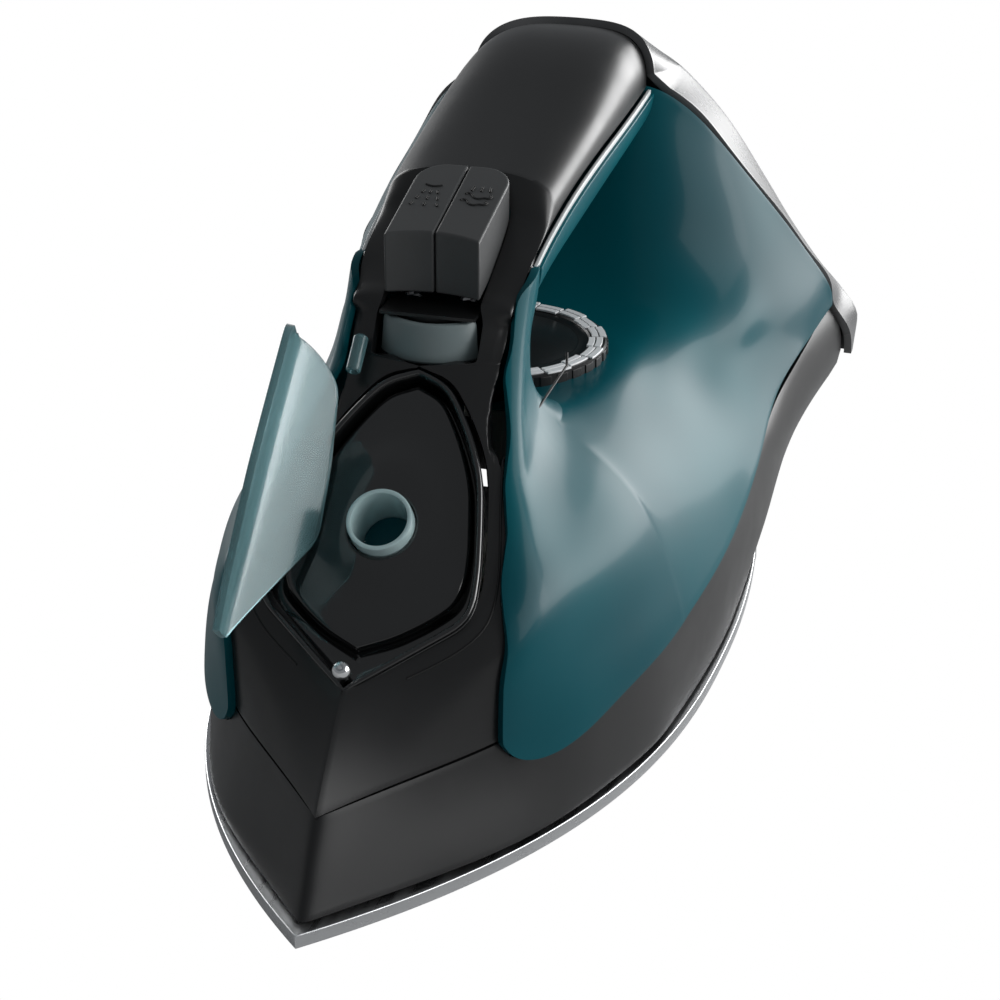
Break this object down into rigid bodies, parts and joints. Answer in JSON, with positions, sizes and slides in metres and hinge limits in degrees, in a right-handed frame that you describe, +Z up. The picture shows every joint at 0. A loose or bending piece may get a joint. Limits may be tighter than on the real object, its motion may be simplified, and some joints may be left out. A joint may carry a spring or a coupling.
{
  "type": "steam iron",
  "caption": "Household steam iron: pointed steel sole, clear teal water tank, arched black handle with spray and steam buttons, temperature dial, opening filler lid and wide heel rest.",
  "frame": {"origin": "middle of the footprint, on the surface the sole stands on", "axes": "+Z up, -Y towards the pointed nose, +Y towards the heel, X = 0 is the plane of symmetry"},
  "size_m": [0.1374, 0.268, 0.1394],
  "materials": {
    "sole_steel": "satin",
    "heater_aluminium": "cast",
    "black_plastic": "fine satin",
    "gloss_black": "polished",
    "heel_plastic": "satin lacquer",
    "tank_plastic": "clear teal",
    "pale_plastic": "clear pale teal",
    "grip_plastic": "soft satin",
    "collar_plastic": "satin",
    "button_plastic": "fine grain",
    "dial_silver": "silver lacquer",
    "chrome": "polished",
    "rubber": "matte",
    "inner_white": "moulded",
    "brass": "turned",
    "steel": "bright",
    "lens_plastic": "clear red"
  },
  "bodies": {
    "housing": {"soleplate": "sole_steel", "heater_casting": "heater_aluminium", "heating_element": "steel", "steam_chamber_cover": "heater_aluminium", "sole_insulator": "rubber", "thermostat": "inner_white", "thermal_fuse": "inner_white", "skirt": "black_plastic", "water_tank": "tank_plastic", "upper_housing": "black_plastic", "handle_liner": "tank_plastic", "grip_trim_left": "grip_plastic", "grip_trim_right": "grip_plastic", "heel_cover": "heel_plastic", "heel_foot_left": "rubber", "heel_foot_right": "rubber", "cord_inlet": "rubber", "indicator_lens": "lens_plastic", "terminal_block": "inner_white", "recess_insert": "gloss_black", "fill_tube": "pale_plastic", "spray_nozzle": "chrome", "button_guide": "black_plastic", "dial_pointer": "grip_plastic", "heater_screw_1": "steel", "heater_screw_2": "steel", "heater_screw_3": "steel", "spray_pump": "inner_white", "spray_pump_spring": "steel", "spray_hose": "inner_white", "steam_pump": "inner_white", "steam_pump_spring": "steel", "steam_hose": "inner_white"},
    "lid": {"fill_lid": "pale_plastic"},
    "spray_key": {"spray_button": "button_plastic"},
    "steam_key": {"steam_button": "button_plastic"},
    "selector": {"steam_selector": "collar_plastic", "steam_valve_rod": "brass"},
    "dial": {"temperature_dial": "black_plastic", "dial_ring": "dial_silver", "dial_shaft": "inner_white"}
  },
  "joints": [
    {"name": "lid_hinge", "type": "hinge", "parent": "housing", "child": "lid", "pos_m": [-0.0146, -0.04304, 0.09513], "axis": [0, 0.7466, 0.6652], "range_deg": [0, 100]},
    {"name": "spray_press", "type": "slide", "parent": "housing", "child": "spray_key", "axis": [0, 0, -1], "range_m": [0, 0.0025], "stiffness_N_per_m": 900, "springref_m": -0.001, "deforming": ["spray_pump_spring"]},
    {"name": "steam_press", "type": "slide", "parent": "housing", "child": "steam_key", "axis": [0, 0, -1], "range_m": [0, 0.0025], "stiffness_N_per_m": 900, "springref_m": -0.001, "deforming": ["steam_pump_spring"]},
    {"name": "steam_select", "type": "hinge", "parent": "housing", "child": "selector", "pos_m": [0, -0.025, 0.1], "axis": [0, 0, 1], "range_deg": [-15, 15]},
    {"name": "dial_turn", "type": "hinge", "parent": "housing", "child": "dial", "pos_m": [0, 0.0254, 0.0754], "axis": [0, 0, 1], "range_deg": [-150, 150]}
  ]
}
